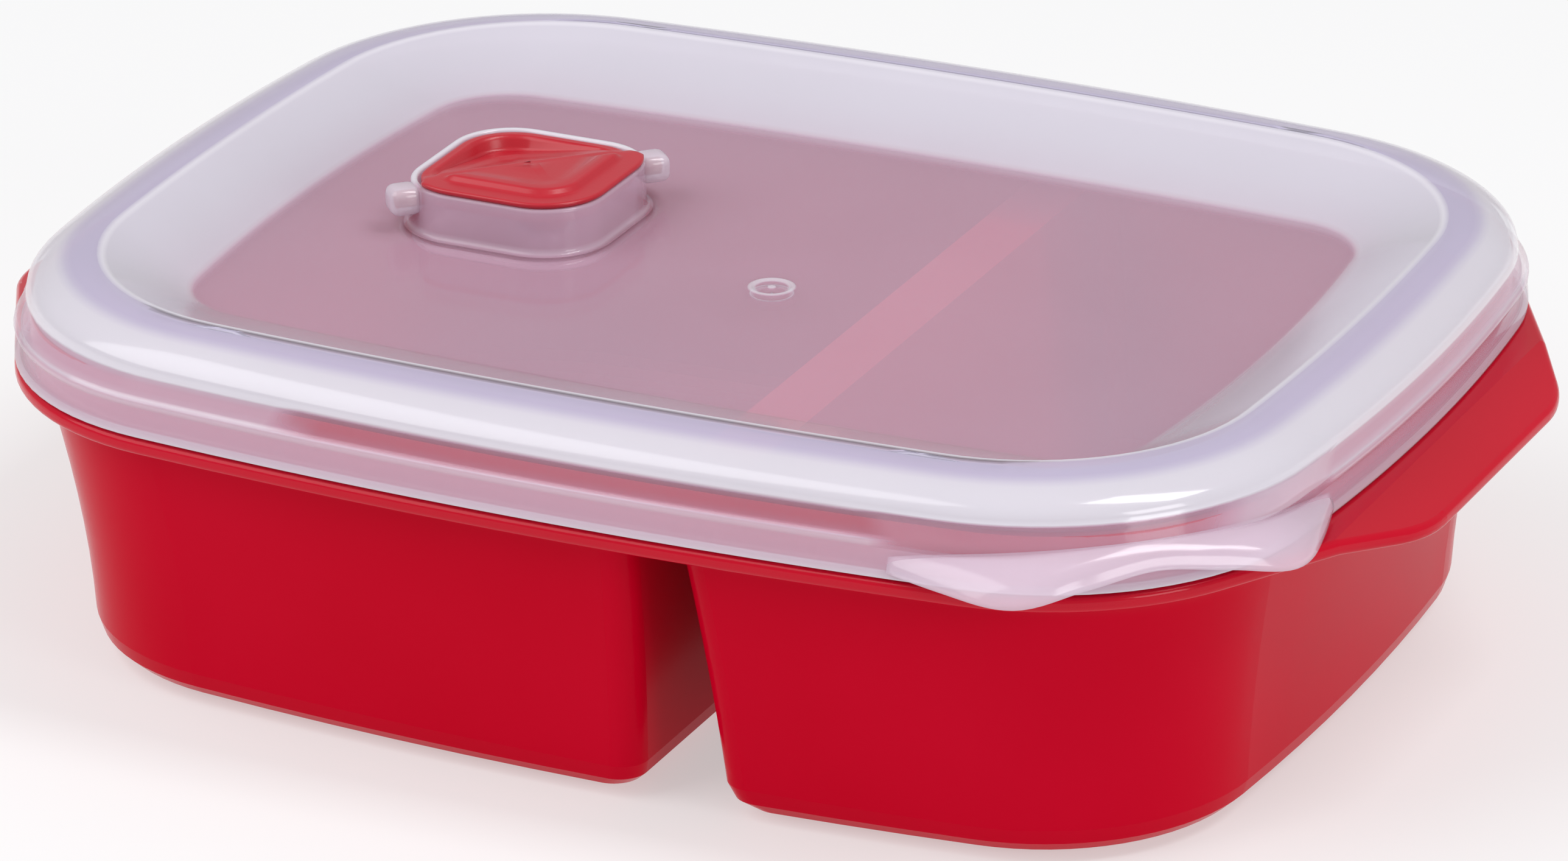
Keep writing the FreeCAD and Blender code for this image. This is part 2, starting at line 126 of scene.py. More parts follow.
def bump(place, height, distance, strength=1.0):
    made = place.node("ShaderNodeBump", Height=height, Distance=distance, Strength=strength)
    return Value(place.tree, made.outputs["Normal"])


def feed(tree, surface, **sockets):
    for name, value in sockets.items():
        tree.links.new(value.socket, surface.inputs[name.replace("_", " ")])


red_plastic, tree, surface, place = new_material("tub_red_polypropylene")
surface.inputs["IOR"].default_value = 1.49
surface.inputs["Specular IOR Level"].default_value = 0.04
surface.inputs["Coat Roughness"].default_value = 0.12
cloud = mottle(place, 0.05)
grain = mottle(place, 0.0016, 2.0)
height = Value(tree, place.node("ShaderNodeSeparateXYZ", Vector=place).outputs["Z"])
lip_gloss = 0.4 * height.over(0.0425, 0.0475)
feed(tree, surface,
     Base_Color=shade(place, cloud, (0.50, 0.0, 0.012), (0.58, 0.001, 0.022)),
     Roughness=0.12 + 0.14 * cloud,
     Coat_Weight=lip_gloss,
     Normal=bump(place, grain, 0.000006))

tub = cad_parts["tub"]
tub.data.materials.clear()
tub.data.materials.append(red_plastic)

# ------------------------------------------------------------------ lid
# The lid is one moulding in natural, uncoloured polypropylene: a sunken panel, a
# sloping wall up to a crease, a rounded shoulder, and a skirt that snaps over the
# tub. It is milky, and the red tub shows through it where it lies close; its colour also holds a painted red glow,
# painted highlights and a painted lilac reflection.
mm = 0.001
rim = (109.2, 86.9, 8.4, 9.0, 43.0)      # half length, half width, bows, corner radius
ridge = (96.2, 73.3, 4.4, 4.6, 36.5)
panel = (82.5, 54.5, 3.1, 4.3, 13.2)
lid_low, lid_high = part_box("lid")
skirt_foot = lid_low.z / mm
shoulder_height = 10.4
ridge_height = 15.6
panel_depth = 7.0
lid_wall = 1.2
gate = Vector((2.3, -6.5))
vent_x = -46.0
vent_y = 5.6
vent_half = 16.4
vent_corner = 10.0


def bowed_loop(outline, z):
    """Points round a rectangle with bowed sides and round corners, in millimetres."""
    half_x, half_y, bow_long, bow_short, corner = outline
    long_radius = (half_x ** 2 + bow_long ** 2) / (2 * bow_long)
    short_radius = (half_y ** 2 + bow_short ** 2) / (2 * bow_short)
    long_back = long_radius - half_y
    short_back = short_radius - half_x
    apart = math.hypot(short_back, long_back)
    far = long_radius - corner
    near = short_radius - corner
    along = (far ** 2 - near ** 2 + apart ** 2) / (2 * apart)
    off = math.sqrt(far ** 2 - along ** 2)
    cx = -short_back / apart * along + long_back / apart * off
    cy = -long_back + long_back / apart * along + short_back / apart * off
    short_angle = math.atan2(cy, cx + short_back)
    long_angle = math.atan2(cy + long_back, cx)
    turn = math.pi
    arcs = (
        (-short_back, 0, short_radius, -short_angle, short_angle, 24),
        (cx, cy, corner, short_angle, long_angle, 18),
        (0, -long_back, long_radius, long_angle, turn - long_angle, 30),
        (-cx, cy, corner, turn - long_angle, turn - short_angle, 18),
        (short_back, 0, short_radius, turn - short_angle, turn + short_angle, 24),
        (-cx, -cy, corner, turn + short_angle, turn + long_angle, 18),
        (0, long_back, long_radius, turn + long_angle, 2 * turn - long_angle, 30),
        (cx, -cy, corner, 2 * turn - long_angle, 2 * turn - short_angle, 18),
    )
    points = []
    for x, y, radius, start, end, steps in arcs:
        for step in range(steps):
            angle = start + (end - start) * step / steps
            points.append(Vector((x + radius * math.cos(angle), y + radius * math.sin(angle), z)))
    return points


def between(first, second, share):
    return tuple(p + (q - p) * share for p, q in zip(first, second))


def moved_in(outline, distance):
    half_x, half_y, bow_long, bow_short, corner = outline
    return (half_x - distance, half_y - distance, bow_long, bow_short, corner - distance)


def dress(mesh, name, milk_and_light, material):
    """Smooth shading, how milky each vertex is with painted highlights and reflections in places, the material, and an
    object.
    """
    mesh.polygons.foreach_set("use_smooth", [True] * len(mesh.polygons))
    mesh.attributes.new("milk_and_painted_light", "FLOAT", "POINT").data.foreach_set("value", milk_and_light)
    mesh.materials.append(material)
    piece = bpy.data.objects.new(name, mesh)
    bpy.context.scene.collection.objects.link(piece)
    return piece


def skin_of_loops(name, loops, milk_and_light_rows, material, cap=False, closed=True):
    """Surface through a stack of loops, with how milky it is at each loop, painted highlights included."""
    count = len(loops[0])
    vertices = [point * mm for loop in loops for point in loop]
    faces = []
    last = count if closed else count - 1
    for row in range(len(loops) - 1):
        for step in range(last):
            following = (step + 1) % count
            faces.append((row * count + step, row * count + following,
                          (row + 1) * count + following, (row + 1) * count + step))
    if cap:
        faces.append(tuple(range((len(loops) - 1) * count, len(loops) * count)))
    mesh = bpy.data.meshes.new(name)
    mesh.from_pydata(vertices, [], faces)
    milk_and_light = []
    for row in milk_and_light_rows:
        milk_and_light += row if isinstance(row, list) else [row] * count
    return dress(mesh, name, milk_and_light, material)


def thicken(piece, thickness):
    solid = piece.modifiers.new("wall", "SOLIDIFY")
    solid.thickness = thickness * mm
    solid.offset = -1
    solid.use_quality_normals = True
    return piece


def smooth(value, low, high):
    share = min(max((value - low) / (high - low), 0.0), 1.0)
    return share * share * (3 - 2 * share)


clear_plastic, tree, surface, place = new_material("lid_natural_polypropylene")
surface.inputs["IOR"].default_value = 1.5
surface.inputs["Coat Weight"].default_value = 0.6
surface.inputs["Coat Roughness"].default_value = 0.06
milk_and_painted_light = Value(tree, place.node("ShaderNodeAttribute", {"attribute_name": "milk_and_painted_light"}).outputs["Fac"])
cloud = mottle(place, 0.04)
grain = mottle(place, 0.0012, 2.0)
painted_lilac_reflection = Value(tree, place.node("ShaderNodeAttribute", {"attribute_name": "painted_lilac_reflection"}).outputs["Fac"])
# Where the milk is low the film is pink, a painted glow of the red tub's light in the thin plastic; where the milk is
# high it is pale lilac-white.
film_and_red_glow = shade(place, milk_and_painted_light.over(0.30, 0.72), (0.86, 0.58, 0.76), (0.80, 0.77, 0.85))
# Toward the crest the colour is mixed to a darker lilac, a painted reflection of the darker studio above and behind,
# set per vertex.
crown = place.node("ShaderNodeMix", {"data_type": "RGBA"}, _0=painted_lilac_reflection, _6=film_and_red_glow, _7=(0.60, 0.54, 0.78, 1))
feed(tree, surface,
     Base_Color=Value(tree, crown.outputs[2]),
     Roughness=0.10 + 0.10 * cloud,
     Alpha=milk_and_painted_light * (0.94 + 0.12 * cloud),
     Normal=bump(place, grain, 0.000002))

# outline, height above the skirt's foot, milkiness with painted highlights in places, lilac tint that is a painted
# reflection
shoulder = moved_in((*rim[:4], rim[4] + 4.0), 1.2)
recess = moved_in(rim, 0.72)
profile = [
    (moved_in(rim, 0.35), 0.02, 0.70, 0), (moved_in(rim, 0.10), 0.10, 0.74, 0), (moved_in(rim, 0.07), 0.4, 0.55, 0),
    (moved_in(rim, 0.08), 1.2, 0.44, 0), (moved_in(rim, 0.16), 2.4, 0.38, 0), (moved_in(rim, 0.28), 3.6, 0.38, 0),
    (moved_in(rim, 0.40), 4.7, 0.40, 0), (moved_in(rim, 0.34), 4.95, 0.48, 0), (moved_in(rim, 0.14), 5.2, 0.52, 0),
    (moved_in(rim, 0.08), 5.6, 0.54, 0), (moved_in(rim, 0.18), 6.0, 0.48, 0), (moved_in(rim, 0.50), 6.3, 0.34, 0),
    (recess, 6.7, 0.20, 0), (between(recess, shoulder, 0.3), 7.6, 0.15, 0),
    (between(recess, shoulder, 0.6), 8.8, 0.15, 0), (between(recess, shoulder, 0.85), 9.6, 0.22, 0),
    (between(recess, shoulder, 0.95), 9.95, 0.55, 0), (shoulder, 10.3, 0.80, 0),
]
skirt_rows = len(profile)
for degrees in range(6, 88, 5):
    angle = math.radians(degrees)
    rise = (ridge_height - shoulder_height) * math.sin(angle)
    # The lilac rising toward the crest is a painted reflection.
    lilac_reflection = 0.75 * smooth(degrees, 50, 66)
    profile.append((between(shoulder, ridge, 1 - math.cos(angle)), shoulder_height + rise, 0.74 - 0.12 * lilac_reflection, lilac_reflection))
# At the crest and down the inner wall the milk is raised to a thin white line, a painted highlight over the shade
# inside the crest.
for share, drop, milk_and_light, lilac_reflection in ((-0.05, 0.02, 0.70, 0.45), (-0.015, 0.0, 0.80, 0.1), (0.01, 0.07, 0.88, 0),
                                   (0.03, 0.20, 0.86, 0)):
    profile.append((between(ridge, panel, share), ridge_height - drop, milk_and_light, lilac_reflection))
for share in (0.06, 0.2, 0.4, 0.6, 0.8, 0.92):
    profile.append((between(ridge, panel, share), ridge_height - panel_depth * share, 0.78 - 0.16 * share, 0.12))
profile.append((between(ridge, panel, 0.965), ridge_height - panel_depth * 0.960, 0.56, 0))
profile.append((between(ridge, panel, 0.99), ridge_height - panel_depth * 0.982, 0.46, 0))
profile.append((between(ridge, panel, 1.01), ridge_height - panel_depth * 0.995, 0.36, 0))
profile.append((between(ridge, panel, 1.04), ridge_height - panel_depth, 0.33, 0))
profile.append((between(ridge, panel, 1.08), ridge_height - panel_depth, 0.33, 0))

plain = bowed_loop(rim, 0)
corner_mid = len(plain) - 9
travel = [0.0]
for step in range(1, len(plain)):
    travel.append(travel[-1] + (plain[step] - plain[step - 1]).length)
whole = travel[-1] + (plain[0] - plain[-1]).length
tab_span = 40.0
beside_tab = []                          # 0 along the tab's root, 1 elsewhere on the skirt
for step in range(len(plain)):
    apart = abs(travel[step] - travel[corner_mid])
    beside_tab.append(smooth(min(apart, whole - apart), tab_span - 2.0, tab_span + 1.5))

floor_z = skirt_foot + ridge_height - panel_depth
loops = []
milk_and_light_rows = []
painted_lilac_reflections = []
for number, (outline, height, milk_and_light, lilac_reflection) in enumerate(profile):
    loop = bowed_loop(outline, skirt_foot + height)
    painted_lilac_reflections += [lilac_reflection] * len(loop)
    if height > 4.7 and number < skirt_rows - 1:
        inset = 0.36 + 0.6 * smooth(height, 6.0, 10.3)
        flat = bowed_loop((*moved_in(rim, inset)[:4], rim[4] + 3.0 * smooth(height, 6.0, 10.3)), skirt_foot + height)
        loop = [q + (p - q) * share for p, q, share in zip(loop, flat, beside_tab)]
        row = [0.24 + (milk_and_light - 0.24) * share for share in beside_tab]
        if height > 6.0:                 # the left part and the right end: a painted reflection, as added milk
            row = [value + 0.26 * max(smooth(-point.x, 38, 44), smooth(point.x, 98, 104))
                   for value, point in zip(row, loop)]
    else:
        row = [milk_and_light] * len(loop)
    milk_and_light_rows.append(row)
    loops.append(loop)


def round_loop(radius, z, x, y, count=64):
    turns = [2 * math.pi * step / count for step in range(count)]
    return [Vector((x + radius * math.cos(turn), y + radius * math.sin(turn), z)) for turn in turns]


def square_loop(half, corner, z):
    far = half - corner
    points = []
    for quarter, (sx, sy) in enumerate(((1, 1), (-1, 1), (-1, -1), (1, -1))):
        for step in range(16):
            angle = (quarter + step / 15) * math.pi / 2
            points.append(Vector((vent_x + sx * far + corner * math.cos(angle),
                                  vent_y + sy * far + corner * math.sin(angle), z)))
    return points


# The panel is flat between the wall's foot, the vent's foot and the gate mark.
count = len(loops[0])
vertices = [point for loop in loops for point in loop]
milk_and_light = [value for row in milk_and_light_rows for value in row]
faces = []
for row in range(len(loops) - 1):
    for step in range(count):
        following = (step + 1) % count
        faces.append((row * count + step, row * count + following,
                      (row + 1) * count + following, (row + 1) * count + step))
edge_start = (len(loops) - 1) * count
vent_guard = square_loop(vent_half + 3.2, vent_corner + 3.2, floor_z)
vent_foot = square_loop(vent_half + 1.2, vent_corner + 1.2, floor_z)
gate_profile = ((16.5, 0.0), (15.0, 0.0), (13.0, -0.02), (10.0, -0.10), (7.0, -0.19), (4.6, -0.24), (3.9, -0.24), (3.6, -0.12),
                (3.4, -0.06), (3.1, -0.08), (2.8, -0.28), (2.4, -0.36), (1.2, -0.38), (0.75, -0.36),
                (0.6, -0.12), (0.3, -0.08))
guard_start = len(vertices)
vertices += vent_guard + vent_foot
milk_and_light += [0.33] * (len(vent_guard) + len(vent_foot))
for step in range(64):
    following = (step + 1) % 64
    first = guard_start + 64
    faces.append((guard_start + step, guard_start + following, first + following, first + step))
gate_start = len(vertices)
for radius, lift in gate_profile:
    vertices += round_loop(radius, floor_z + lift, gate.x, gate.y)
    milk_and_light += [0.62 if 2.6 < radius < 3.8 or radius < 0.7 else 0.33] * 64
for row in range(len(gate_profile) - 1):
    for step in range(64):
        following = (step + 1) % 64
        first = gate_start + row * 64
        faces.append((first + step, first + following, first + 64 + following, first + 64 + step))
faces.append(tuple(gate_start + (len(gate_profile) - 1) * 64 + step for step in range(64)))
rings = [list(range(edge_start, edge_start + count)), list(range(guard_start, guard_start + 64)),
         list(range(gate_start, gate_start + 64))]
flat_points = []
flat_edges = []
names = []
for ring in rings:
    first = len(flat_points)
    flat_points += [vertices[number].xy for number in ring]
    names += ring
    flat_edges += [(first + step, first + (step + 1) % len(ring)) for step in range(len(ring))]
found, _, triangles, _, _, _ = delaunay_2d_cdt(flat_points, flat_edges, [], 4, 1e-6)
for triangle in triangles:
    corners = tuple(names[number] for number in triangle)
    inside_a_hole = any(set(corners) <= set(hole) for hole in rings[1:])
    if not inside_a_hole:
        faces.append(corners)
mesh = bpy.data.meshes.new("lid_shell")
mesh.from_pydata([point * mm for point in vertices], [], faces)
mesh.update()
lid = dress(mesh, "lid_shell", milk_and_light, clear_plastic)
painted_lilac_reflections += [0.0] * (len(vertices) - len(painted_lilac_reflections))
mesh.attributes.new("painted_lilac_reflection", "FLOAT", "POINT").data.foreach_set("value", painted_lilac_reflections)
worked = bmesh.new()
worked.from_mesh(mesh)
bmesh.ops.recalc_face_normals(worked, faces=worked.faces)
worked.to_mesh(mesh)
worked.free()
thicken(lid, lid_wall)
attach(lid, "cover")
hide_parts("lid")

# ------------------------------------------------------------------ inner ring
# Under the shoulder a thin ring of the same moulding reaches down inside the
# tub's rim wall. It keeps the lid in place and seals against splashes.
ring_inset = 4.3
ring_profile = ((0.0, 12.6), (0.0, 3.2), (0.25, 2.7), (lid_wall - 0.25, 2.7), (lid_wall, 3.2), (lid_wall, 13.0))
loops = [bowed_loop(moved_in(rim, ring_inset + across), skirt_foot + height) for across, height in ring_profile]
inner_ring = skin_of_loops("lid_inner_ring", loops, [0.25] * len(loops), clear_plastic)
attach(inner_ring, "cover")

# ------------------------------------------------------------------ pull tab
# A thin flap of the lid's own plastic stands out of the skirt at the front right
# corner, with two drooping tips, for a finger to lift the lid by.
tab_root = (7.4, 3.4)
tab_wall = 0.55
tab_stations = (                                       # along the rim, out from it, above the skirt's foot
    (-tab_span, 0.1, 1.0), (-30.0, 3.6, 0.7), (-20.0, 6.5, 0.45), (-10.5, 3.4, 2.2), (0.0, 1.7, 3.6),
    (10.5, 3.4, 2.2), (20.0, 6.5, 0.45), (30.0, 3.6, 0.7), (tab_span, 0.1, 1.0),
)


def rim_place(distance):
    """Point on the rim and outward direction, measured from the middle of the corner."""
    half_x, half_y, bow_long, bow_short, corner = rim
    long_radius = (half_x ** 2 + bow_long ** 2) / (2 * bow_long)
    short_radius = (half_y ** 2 + bow_short ** 2) / (2 * bow_short)
    long_back = long_radius - half_y
    short_back = short_radius - half_x
    apart = math.hypot(short_back, long_back)
    far = long_radius - corner
    near = short_radius - corner
    along = (far ** 2 - near ** 2 + apart ** 2) / (2 * apart)
    off = math.sqrt(far ** 2 - along ** 2)
    cx = -short_back / apart * along + long_back / apart * off
    cy = -long_back + long_back / apart * along + short_back / apart * off
    short_angle = -math.atan2(cy, cx + short_back)
    long_angle = -math.atan2(cy + long_back, cx)
    angle = (short_angle + long_angle) / 2 + distance / corner
    centre = Vector((cx, -cy, 0))
    radius = corner
    if angle > short_angle:
        angle = short_angle + (angle - short_angle) * corner / short_radius
        centre = Vector((-short_back, 0, 0))
        radius = short_radius
    elif angle < long_angle:
        angle = long_angle + (angle - long_angle) * corner / long_radius
        centre = Vector((0, long_back, 0))
        radius = long_radius
    outward = Vector((math.cos(angle), math.sin(angle), 0))
    return centre + outward * radius, outward


def smooth_through(stations, steps):
    """Points on a smooth curve through the stations."""
    points = [Vector(station) for station in stations]
    points = [points[0] * 2 - points[1]] + points + [points[-1] * 2 - points[-2]]
    curve = []
    for place_in in range(1, len(points) - 2):
        a, b, c, d = points[place_in - 1:place_in + 3]
        for step in range(steps):
            t = step / steps
            curve.append((b * 2 + (c - a) * t + (a * 2 - b * 5 + c * 4 - d) * t ** 2
                          + (b * 3 - a - c * 3 + d) * t ** 3) / 2)
    curve.append(points[-2])
    return curve


line = smooth_through(tab_stations, 8)
rows = 9
loops = []
for row in range(rows):
    share = row / (rows - 1)
    loop = []
    for distance, reach, height in line:
        point, outward = rim_place(distance)
        root_height = tab_root[0] + (tab_root[1] - tab_root[0]) * (distance / tab_span) ** 2
        sunk = -0.5 - 0.9 * root_height / shoulder_height
        hang = root_height + (height - root_height) * share
        swing = share + 0.18 * math.sin(math.pi * share)
        hang += 0.10 * (root_height - height) * math.sin(math.pi * share)
        loop.append(point + outward * (sunk + (reach - sunk) * min(swing, 1.0)) + Vector((0, 0, skirt_foot + hang)))
    loops.append(loop)
tab = thicken(skin_of_loops("lid_pull_tab", loops, [0.52] * rows, clear_plastic, closed=False), tab_wall)
tab.modifiers["wall"].offset = 1
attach(tab, "cover")

# ------------------------------------------------------------------ vent wall
# A square wall with round corners stands up from the panel round the vent, with a
# lug at two opposite corners for the cap's pivot. It is moulded with the lid.
vent_wall = 1.2
vent_height = 7.5
sump = 2.0
hole_x = vent_x + 8.0 / math.sqrt(2)
hole_y = vent_y - 8.0 / math.sqrt(2)


def ring_facing(loop, radius, z):
    """Points round the steam hole, each on the line from its middle to a loop's point."""
    points = []
    for point in loop:
        turn = math.atan2(point.y - hole_y, point.x - hole_x)
        points.append(Vector((hole_x + radius * math.cos(turn), hole_y + radius * math.sin(turn), z)))
    return points


wall_profile = (                                       # out from the wall, above the panel, milkiness (at the top edge a painted highlight)
    (1.2, 0.0, 0.33), (0.8, 0.05, 0.38), (0.45, 0.25, 0.46), (0.26, 0.6, 0.47), (0.18, 1.2, 0.42),
    (0.12, 3.0, 0.42), (0.05, 5.6, 0.42), (0.0, 6.9, 0.44), (-0.08, 7.3, 0.72), (-0.35, 7.5, 0.86),
    (-0.85, 7.5, 0.86), (-1.12, 7.3, 0.72), (-1.2, 6.9, 0.44), (-1.2, 3.0, 0.36), (-1.2, -1.2, 0.36),
    (-1.7, -1.8, 0.36), (-2.3, -sump, 0.36),
)
loops = [square_loop(vent_half + out, vent_corner + out, floor_z + height) for out, height, _ in wall_profile]
milk_and_light_rows = []
for loop, (_, _, value) in zip(loops, wall_profile):
    # The top edge's extra milk is a painted highlight, kept on the back half of the wall and faded to 0.46 at the
    # front.
    back_highlight_share = [smooth((point.y - vent_y) - (point.x - vent_x), -2.0, 3.0) for point in loop]
    milk_and_light_rows.append([0.46 + (value - 0.46) * share if value > 0.6 else value for share in back_highlight_share])
inner = loops[-1]
for radius, height in ((5.4, -sump), (4.8, -1.8), (4.6, -1.3), (4.6, 0.7), (4.3, 1.0), (2.8, 1.0), (2.5, 0.7),
                       (2.5, -sump - lid_wall)):
    loops.append(ring_facing(inner, radius, floor_z + height))
    milk_and_light_rows.append([0.45] * 64)
for out, height in ((-2.0, -sump - lid_wall), (-0.3, -sump - 0.9), (0.0, -sump - 0.4), (0.0, -lid_wall)):
    loops.append(square_loop(vent_half + out, vent_corner + out, floor_z + height))
    milk_and_light_rows.append([0.36] * 64)
vent_upstand = skin_of_loops("lid_vent_wall", loops, milk_and_light_rows, clear_plastic)
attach(vent_upstand, "cover")

lug_reach = 3.6
lug_width = 5.2
lug_height = 4.6
pin_z = floor_z + vent_height - 2.4
corner_reach = 19.71
for name, side in (("front", -1), ("back", 1)):
    corners = []
    for across in (-0.5, 0.5):
        for along in (-1.7, lug_reach):
            for level in (-0.5, 0.5):
                distance = side * (corner_reach + along)
                x = vent_x + (distance - across * lug_width) / math.sqrt(2)
                y = vent_y + (distance + across * lug_width) / math.sqrt(2)
                corners.append(Vector((x, y, pin_z + level * lug_height)) * mm)
    mesh = bpy.data.meshes.new("lid_vent_lug_" + name)
    mesh.from_pydata(corners, [], [(0, 1, 3, 2), (4, 6, 7, 5), (0, 4, 5, 1), (2, 3, 7, 6), (0, 2, 6, 4), (1, 5, 7, 3)])
    mesh.polygons.foreach_set("use_smooth", [True] * 6)
    mesh.attributes.new("milk_and_painted_light", "FLOAT", "POINT").data.foreach_set("value", [0.60] * 8)
    mesh.materials.append(clear_plastic)
    lug = bpy.data.objects.new("lid_vent_lug_" + name, mesh)
    bpy.context.scene.collection.objects.link(lug)
    softened = lug.modifiers.new("edge", "BEVEL")
    softened.width = 1.5 * mm
    softened.segments = 4
    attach(lug, "cover")

# ------------------------------------------------------------------ vent cap
# The vent cap is a red rocker that snaps on two trunnions in the lid's lugs. Its
# back half is a dish for a fingertip, and its front half is a raised pad that
# closes over the wall. It is moulded in the tub's red with a satin surface.
vent_plastic, tree, surface, place = new_material("vent_red_polypropylene")
surface.inputs["IOR"].default_value = 1.49
cloud = mottle(place, 0.006)
grain = mottle(place, 0.0005, 2.0)
feed(tree, surface,
     Base_Color=shade(place, cloud, (0.47, 0.010, 0.022), (0.52, 0.014, 0.030)),
     Roughness=0.26 + 0.10 * cloud,
     Normal=bump(place, grain, 0.00001))

cap_half = 14.85
cap_corner = 8.9
lip_over = 1.5
cap_top = floor_z + vent_height + 1.0
press_sink = 1.2
pad_rise = 0.88


def cap_height(x, y, inside):
    """Top of the cap at a point that lies a given distance inside its outline."""
    along = ((x - vent_x) + (y - vent_y)) / math.sqrt(2)
    across = ((x - vent_x) - (y - vent_y)) / math.sqrt(2)
    level = cap_top - press_sink * smooth(-across, -1.0, 3.0) * (1 - smooth(inside, 1.0, 3.5))
    level += pad_rise * smooth(inside, 3.5, 4.5) * smooth(across, 1.0, 3.2)
    level -= 0.30 * smooth(inside, 5.6, 9.0) * smooth(across, 3.0, 7.0)
    pressed = smooth(-across, 0.0, 1.2) * min(-across / 13.0, 1.0) if across < 0 else 0.0
    level -= 3.2 * pressed * smooth(inside, 1.4, 2.5)
    dimple = math.hypot((along + 1.0) / 5.0, (across + 7.6) / 3.2)
    level -= 0.55 * (1 - smooth(dimple, 0.55, 1.0))
    return level


def cap_loop(inside, level=None):
    """Loop of the cap's outline, wider by its lip on the closing half."""
    narrow = square_loop(cap_half - inside, max(cap_corner - inside, 1.2), 0)
    wide = square_loop(cap_half + lip_over - inside, max(cap_corner + lip_over - inside, 1.2), 0)
    points = []
    for p, q in zip(narrow, wide):
        across = ((p.x - vent_x) - (p.y - vent_y)) / math.sqrt(2)
        point = p + (q - p) * smooth(across, 0.0, 2.2)
        point.z = cap_height(point.x, point.y, inside) if level is None else level(across)
        points.append(point)
    return points


side_top = floor_z + vent_height
loops = [square_loop(cap_half - 0.6, cap_corner - 0.6, cap_top - 3.9),
         square_loop(cap_half - 0.1, cap_corner - 0.1, cap_top - 3.8),
         square_loop(cap_half, cap_corner, cap_top - 3.4),
         square_loop(cap_half, cap_corner, side_top - 0.55),
         cap_loop(0.10, lambda across: side_top - 0.45 + 0.75 * smooth(across, 0.0, 2.2)),
         cap_loop(0.0, lambda across: side_top - 0.38 + 0.82 * smooth(across, 0.0, 2.2)),
         cap_loop(0.0, lambda across: side_top - 0.30 + 1.05 * smooth(across, -1.0, 2.2)),
         cap_loop(0.12, lambda across: side_top - 0.23 + 1.16 * smooth(across, -1.0, 2.4))]
for inside in (0.4, 0.7, 1.1, 1.5, 1.8, 2.1, 2.4, 2.7, 3.0, 3.4, 3.8, 4.2, 4.6, 5.0, 5.4, 5.9, 6.5, 7.2, 8.0,
               8.8, 9.6, 10.5, 11.4, 12.3, 13.2, 14.0):
    loops.append(cap_loop(inside))
cap_skin = skin_of_loops("vent_rocker", loops, [1.0] * len(loops), vent_plastic, cap=True)
worked = bmesh.new()
worked.from_mesh(cap_skin.data)
underside = [vertex for vertex in worked.verts if vertex.index < 64]
worked.verts.ensure_lookup_table()
stud = ring_facing(square_loop(cap_half - 0.6, cap_corner - 0.6, 0), 4.0, cap_top - 3.9)
stud_rows = [[worked.verts[step] for step in range(64)]]
for radius, level in ((4.5, cap_top - 3.9), (4.0, cap_top - 4.2), (4.0, floor_z + 1.5), (3.7, floor_z + 1.22)):
    row = [worked.verts.new(point * mm) for point in
           ring_facing(square_loop(cap_half - 0.6, cap_corner - 0.6, 0), radius, level)]
    stud_rows.append(row)
for upper, lower in zip(stud_rows, stud_rows[1:]):
    for step in range(64):
        following = (step + 1) % 64
        worked.faces.new((upper[step], lower[step], lower[following], upper[following])).smooth = True
worked.faces.new(reversed(stud_rows[-1]))
axle = corner_reach + lug_reach - 1.35
ends = []
for side in (-1, 1):
    ring = []
    for step in range(24):
        turn = 2 * math.pi * step / 24
        out = side * axle / math.sqrt(2)
        level = 1.4 * math.sin(turn)
        aside = 1.4 * math.cos(turn) / math.sqrt(2)
        ring.append(worked.verts.new(Vector((vent_x + out - aside, vent_y + out + aside, pin_z + level)) * mm))
    ends.append(ring)
for step in range(24):
    following = (step + 1) % 24
    worked.faces.new((ends[0][step], ends[0][following], ends[1][following], ends[1][step])).smooth = True
worked.faces.new(ends[0])
worked.faces.new(reversed(ends[1]))
bmesh.ops.recalc_face_normals(worked, faces=worked.faces)
worked.to_mesh(cap_skin.data)
worked.free()
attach(cap_skin, "vent")
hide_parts("vent_cap")

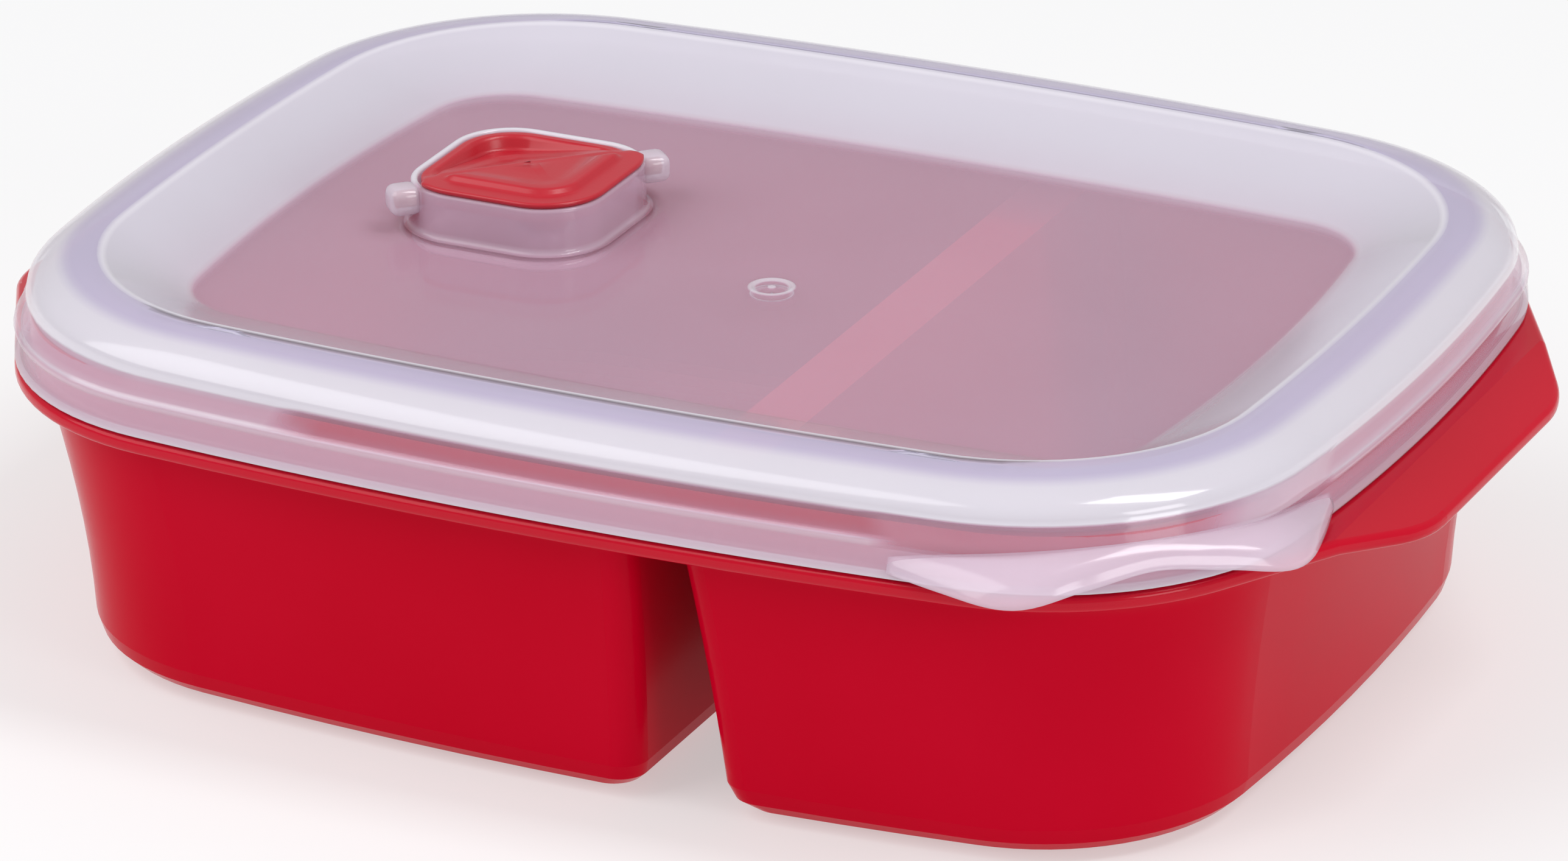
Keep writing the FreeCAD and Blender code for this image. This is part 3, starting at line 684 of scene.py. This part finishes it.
# ------------------------------------------------------------------ table and light
# The box stands on a plain white table in a white studio.
white, tree, surface, place = new_material("white_table")
bpy.ops.mesh.primitive_plane_add(size=6, location=(0, 0, 0))
floor = bpy.context.object
floor.name = "table"
tree.nodes.remove(surface)
output = tree.nodes["Material Output"]
rays = tree.nodes.new("ShaderNodeLightPath")
seen = Value(tree, rays.outputs["Is Camera Ray"]).maths("MAXIMUM", Value(tree, rays.outputs["Is Glossy Ray"]))
seen = seen.maths("MAXIMUM", Value(tree, rays.outputs["Is Transmission Ray"]))
diffuse = place.node("ShaderNodeBsdfDiffuse", Color=(0.86, 0.86, 0.87, 1))
bright = place.node("ShaderNodeEmission", Color=(1, 1, 1, 1), Strength=1.0)
blend = tree.nodes.new("ShaderNodeMixShader")
tree.links.new((seen * 0.95).socket, blend.inputs[0])
tree.links.new(diffuse.outputs[0], blend.inputs[1])
tree.links.new(bright.outputs[0], blend.inputs[2])
tree.links.new(blend.outputs[0], output.inputs["Surface"])
floor.data.materials.append(white)

world = bpy.data.worlds.new("white_studio")
bpy.context.scene.world = world
world.use_nodes = True
world.node_tree.nodes["Background"].inputs["Color"].default_value = (1, 1, 1, 1)
world.node_tree.nodes["Background"].inputs["Strength"].default_value = 0.45


def softbox(name, place, aim, width, height, power):
    light = bpy.data.lights.new(name, "AREA")
    light.shape = "RECTANGLE"
    light.size = width
    light.size_y = height
    light.energy = power
    holder = bpy.data.objects.new(name, light)
    bpy.context.scene.collection.objects.link(holder)
    holder.location = place
    holder.rotation_euler = (Vector(aim) - Vector(place)).to_track_quat("-Z", "Y").to_euler()


softbox("front_left_window", (-0.92, -0.72, 1.09), (0, 0, 0.03), 1.4, 1.4, 14)
softbox("overhead_window", (0.75, 0.05, 1.35), (0, 0, 0.03), 0.4, 0.8, 9)
softbox("right_window", (1.5, -0.6, 0.55), (0, 0, 0.03), 0.6, 0.6, 5)

# ------------------------------------------------------------------ camera
# A long lens, a little above the box and to the right of its front.
azimuth = math.radians(25.25)
elevation = math.radians(22.77)
roll = math.radians(-0.22)
back = Vector((math.sin(azimuth) * math.cos(elevation), -math.cos(azimuth) * math.cos(elevation),
               math.sin(elevation)))
level = Vector((math.cos(azimuth), math.sin(azimuth), 0))
upright = back.cross(level)
right = level * math.cos(roll) + upright * math.sin(roll)
up = upright * math.cos(roll) - level * math.sin(roll)
lens = bpy.data.cameras.new("camera")
lens.lens = 203.5
lens.sensor_width = 36
lens.clip_end = 20
camera = bpy.data.objects.new("camera", lens)
bpy.context.scene.collection.objects.link(camera)
turn = Matrix((right, up, back)).transposed()
camera.matrix_world = Matrix.Translation((0.5491, -1.1616, 0.5699)) @ turn.to_4x4()
bpy.context.scene.camera = camera
bpy.context.scene.view_settings.view_transform = "Standard"
